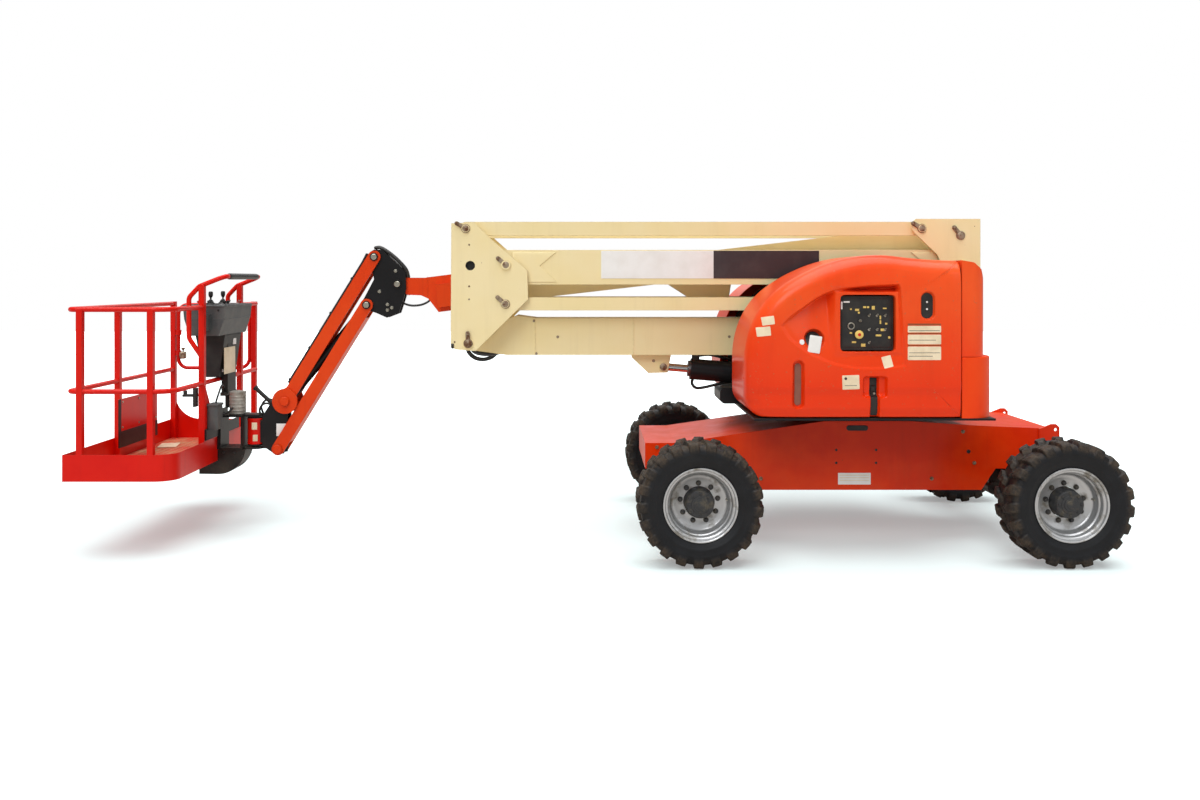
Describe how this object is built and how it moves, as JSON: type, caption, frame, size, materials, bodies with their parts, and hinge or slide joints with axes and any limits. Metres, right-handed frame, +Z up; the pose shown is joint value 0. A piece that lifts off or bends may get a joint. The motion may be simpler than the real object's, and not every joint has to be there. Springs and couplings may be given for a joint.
{
  "type": "articulating boom lift",
  "caption": "Self-propelled aerial work platform: wheeled chassis, slewing turntable, folding two-stage tower, telescoping boom, jib and railed basket.",
  "frame": {"origin": "on the floor under the middle of the folded machine's bounding box", "axes": "+X from the basket towards the counterweight, +Y to the side away from the ground controls, +Z up"},
  "size_m": [6.956, 2.34, 2.2839],
  "materials": {
    "chassis_paint": "semi-gloss machine enamel, dusty",
    "hood_paint": "orange gel coat on a glass-fibre moulding",
    "cream_paint": "semi-gloss cream enamel",
    "basket_paint": "gloss red enamel",
    "jib_paint": "gloss orange enamel",
    "black_paint": "satin black enamel",
    "weight_iron": "painted iron casting",
    "axle_steel": "black chassis paint",
    "rim_paint": "grey wheel paint",
    "tyre": "foam-filled lugged tyre",
    "bearing_steel": "machined ring",
    "rod_chrome": "hard-chromed rod",
    "engine_block": "plain block for engine and pump",
    "panel_plastic": "black panel",
    "console_plastic": "moulded dark grey case",
    "canister_alu": "dull grey canister"
  },
  "bodies": {
    "chassis": {"chassis_frame": "chassis_paint", "fixed_axle": "axle_steel", "steer_axle": "axle_steel", "swing_bearing": "bearing_steel"},
    "steer_rod": {"steering_rod": "rod_chrome"},
    "knuckle_near": {"steering_knuckle_near": "axle_steel"},
    "knuckle_far": {"steering_knuckle_far": "axle_steel"},
    "road_wheel_front_near": {"wheel_front_near": "rim_paint", "tyre_front_near": "tyre"},
    "road_wheel_front_far": {"wheel_front_far": "rim_paint", "tyre_front_far": "tyre"},
    "road_wheel_rear_near": {"wheel_rear_near": "rim_paint", "tyre_rear_near": "tyre"},
    "road_wheel_rear_far": {"wheel_rear_far": "rim_paint", "tyre_rear_far": "tyre"},
    "turntable": {"turntable_frame": "black_paint", "hood_bulkheads": "black_paint", "counterweight": "weight_iron", "rear_cover": "hood_paint", "front_cover": "black_paint", "engine_block": "engine_block", "ground_controls": "panel_plastic"},
    "near_hood": {"hood_near": "hood_paint"},
    "far_hood": {"hood_far": "hood_paint"},
    "tower_boom_low": {"lower_tower_boom": "cream_paint"},
    "tower_links_low": {"lower_tower_links": "cream_paint"},
    "tower_mid_upright": {"mid_upright": "cream_paint"},
    "tower_boom_high": {"upper_tower_boom": "cream_paint"},
    "tower_links_high": {"upper_tower_links": "cream_paint"},
    "tower_top_upright": {"upper_upright": "cream_paint"},
    "tower_barrel": {"tower_cylinder_barrel": "black_paint"},
    "tower_rod": {"tower_cylinder_rod": "rod_chrome"},
    "boom": {"main_boom": "cream_paint"},
    "lift_barrel": {"lift_cylinder_barrel": "black_paint"},
    "lift_rod": {"lift_cylinder_rod": "rod_chrome"},
    "fly": {"fly_boom": "jib_paint"},
    "head": {"jib_head": "black_paint"},
    "jib_top_link": {"jib_upper_link": "jib_paint"},
    "jib_bottom_link": {"jib_lower_link": "jib_paint"},
    "jib_barrel": {"jib_cylinder_barrel": "black_paint"},
    "jib_rod": {"jib_cylinder_rod": "rod_chrome"},
    "jib_end": {"platform_bracket": "black_paint"},
    "platform": {"platform_support": "black_paint", "support_canister": "canister_alu", "belly_guard": "black_paint", "basket_tray": "basket_paint", "basket_rails": "basket_paint", "front_panel": "basket_paint", "control_console": "console_plastic", "console_pedestal": "panel_plastic"},
    "gate": {"basket_gate": "basket_paint"}
  },
  "joints": [
    {"name": "roll_front_near", "type": "hinge", "parent": "chassis", "child": "road_wheel_front_near", "pos_m": [0.705, -1.02, 0.408], "axis": [0, 1, 0], "continuous": true},
    {"name": "roll_front_far", "type": "hinge", "parent": "chassis", "child": "road_wheel_front_far", "pos_m": [0.705, 1.02, 0.408], "axis": [0, 1, 0], "continuous": true},
    {"name": "roll_rear_near", "type": "hinge", "parent": "knuckle_near", "child": "road_wheel_rear_near", "pos_m": [3.07, -1.02, 0.408], "axis": [0, 1, 0], "continuous": true},
    {"name": "roll_rear_far", "type": "hinge", "parent": "knuckle_far", "child": "road_wheel_rear_far", "pos_m": [3.07, 1.02, 0.408], "axis": [0, 1, 0], "continuous": true},
    {"name": "steer_near", "type": "hinge", "parent": "chassis", "child": "knuckle_near", "pos_m": [3.07, -0.8, 0.408], "axis": [0, 0, 1], "range_deg": [-35, 35]},
    {"name": "steer_far", "type": "hinge", "parent": "chassis", "child": "knuckle_far", "pos_m": [3.07, 0.8, 0.408], "axis": [0, 0, 1], "range_deg": [-36, 36]},
    {"name": "steering_rod_slide", "type": "slide", "parent": "chassis", "child": "steer_rod", "axis": [0, -1, 0], "range_m": [-0.1, 0.1]},
    {"name": "swing", "type": "hinge", "parent": "chassis", "child": "turntable", "pos_m": [1.888, 0, 0.886], "axis": [0, 0, 1], "range_deg": [-177.5, 177.5]},
    {"name": "hood_near_lift", "type": "hinge", "parent": "turntable", "child": "near_hood", "pos_m": [1.74, -0.372, 1.955], "axis": [-1, 0, 0], "range_deg": [0, 60]},
    {"name": "hood_far_lift", "type": "hinge", "parent": "turntable", "child": "far_hood", "pos_m": [1.74, 0.372, 1.955], "axis": [1, 0, 0], "range_deg": [0, 60]},
    {"name": "tower_lift", "type": "hinge", "parent": "turntable", "child": "tower_boom_low", "pos_m": [2.401, 0, 1.39], "axis": [0, 1, 0], "range_deg": [0, 56]},
    {"name": "tower_low_links_turn", "type": "hinge", "parent": "turntable", "child": "tower_links_low", "pos_m": [2.668, 0, 1.6725], "axis": [0, 1, 0], "range_deg": [0, 57]},
    {"name": "mid_upright_level", "type": "hinge", "parent": "tower_boom_low", "child": "tower_mid_upright", "pos_m": [-0.874, 0, 1.39], "axis": [0, 1, 0], "range_deg": [-57, 0]},
    {"name": "tower_high_boom_turn", "type": "hinge", "parent": "tower_mid_upright", "child": "tower_boom_high", "pos_m": [-0.604, 0, 1.953], "axis": [0, 1, 0], "range_deg": [-57, 0]},
    {"name": "tower_high_links_turn", "type": "hinge", "parent": "tower_mid_upright", "child": "tower_links_high", "pos_m": [-0.893, 0, 2.215], "axis": [0, 1, 0], "range_deg": [-57, 0]},
    {"name": "top_upright_level", "type": "hinge", "parent": "tower_boom_high", "child": "tower_top_upright", "pos_m": [2.671, 0, 1.953], "axis": [0, 1, 0], "range_deg": [0, 57]},
    {"name": "tower_barrel_turn", "type": "hinge", "parent": "turntable", "child": "tower_barrel", "pos_m": [1.75, 0, 1.1], "axis": [0, 1, 0], "range_deg": [0, 69.75]},
    {"name": "tower_rod_slide", "type": "slide", "parent": "tower_barrel", "child": "tower_rod", "axis": [-0.9966, 0, 0.0827], "range_m": [0, 0.60925]},
    {"name": "boom_lift", "type": "hinge", "parent": "tower_top_upright", "child": "boom", "pos_m": [2.66, 0, 2.165], "axis": [0, 1, 0], "range_deg": [0, 80]},
    {"name": "lift_barrel_turn", "type": "hinge", "parent": "tower_top_upright", "child": "lift_barrel", "pos_m": [2.6, 0, 1.665], "axis": [0, 1, 0], "range_deg": [0, 72.94]},
    {"name": "lift_rod_slide", "type": "slide", "parent": "lift_barrel", "child": "lift_rod", "axis": [-1, 0, 0], "range_m": [0, 0.58181]},
    {"name": "fly_slide", "type": "slide", "parent": "boom", "child": "fly", "axis": [-0.9934, 0, -0.1149], "range_m": [0, 1.67]},
    {"name": "head_level", "type": "hinge", "parent": "fly", "child": "head", "pos_m": [-1.427, 0, 1.815], "axis": [0, 1, 0], "range_deg": [-81, 0]},
    {"name": "jib_lift", "type": "hinge", "parent": "head", "child": "jib_top_link", "pos_m": [-1.595, 0, 2.016], "axis": [0, 1, 0], "range_deg": [0, 142.4]},
    {"name": "jib_bottom_link_turn", "type": "hinge", "parent": "head", "child": "jib_bottom_link", "pos_m": [-1.65132, 0, 1.66043], "axis": [0, 1, 0], "range_deg": [0, 143.4]},
    {"name": "jib_barrel_turn", "type": "hinge", "parent": "head", "child": "jib_barrel", "pos_m": [-1.65132, 0, 1.66043], "axis": [0, 1, 0], "range_deg": [0, 141.27]},
    {"name": "jib_rod_slide", "type": "slide", "parent": "jib_barrel", "child": "jib_rod", "axis": [-0.6451, 0, -0.7641], "range_m": [0, 0.68585]},
    {"name": "jib_end_level", "type": "hinge", "parent": "jib_top_link", "child": "jib_end", "pos_m": [-2.24998, 0, 0.95134], "axis": [0, 1, 0], "range_deg": [-143.4, 0]},
    {"name": "platform_turn", "type": "hinge", "parent": "jib_end", "child": "platform", "pos_m": [-2.49, 0, 0.72], "axis": [0, 0, 1], "range_deg": [-90, 90]},
    {"name": "gate_swing", "type": "hinge", "parent": "platform", "child": "gate", "pos_m": [-3.414, 0.891, 1.3], "axis": [0, 0, -1], "range_deg": [0, 90]}
  ],
  "couplings": [
    {"joint": "steer_far", "follows": "steer_near", "ratio": 1},
    {"joint": "steering_rod_slide", "follows": "steer_near", "m_per_rad": 0.15023},
    {"joint": "tower_low_links_turn", "follows": "tower_lift", "ratio": 1},
    {"joint": "mid_upright_level", "follows": "tower_lift", "ratio": -1},
    {"joint": "tower_high_boom_turn", "follows": "tower_lift", "ratio": -1},
    {"joint": "tower_high_links_turn", "follows": "tower_lift", "ratio": -1},
    {"joint": "top_upright_level", "follows": "tower_lift", "ratio": 1},
    {"joint": "tower_barrel_turn", "follows": "tower_lift", "ratio": 1.2093},
    {"joint": "tower_rod_slide", "follows": "tower_lift", "m_per_rad": 0.61112},
    {"joint": "lift_barrel_turn", "follows": "boom_lift", "ratio": 0.88525},
    {"joint": "lift_rod_slide", "follows": "boom_lift", "m_per_rad": 0.40852},
    {"joint": "head_level", "follows": "boom_lift", "ratio": -1},
    {"joint": "jib_bottom_link_turn", "follows": "jib_lift", "ratio": 1},
    {"joint": "jib_barrel_turn", "follows": "jib_lift", "ratio": 0.9632},
    {"joint": "jib_rod_slide", "follows": "jib_lift", "m_per_rad": 0.27055},
    {"joint": "jib_end_level", "follows": "jib_lift", "ratio": -1}
  ]
}
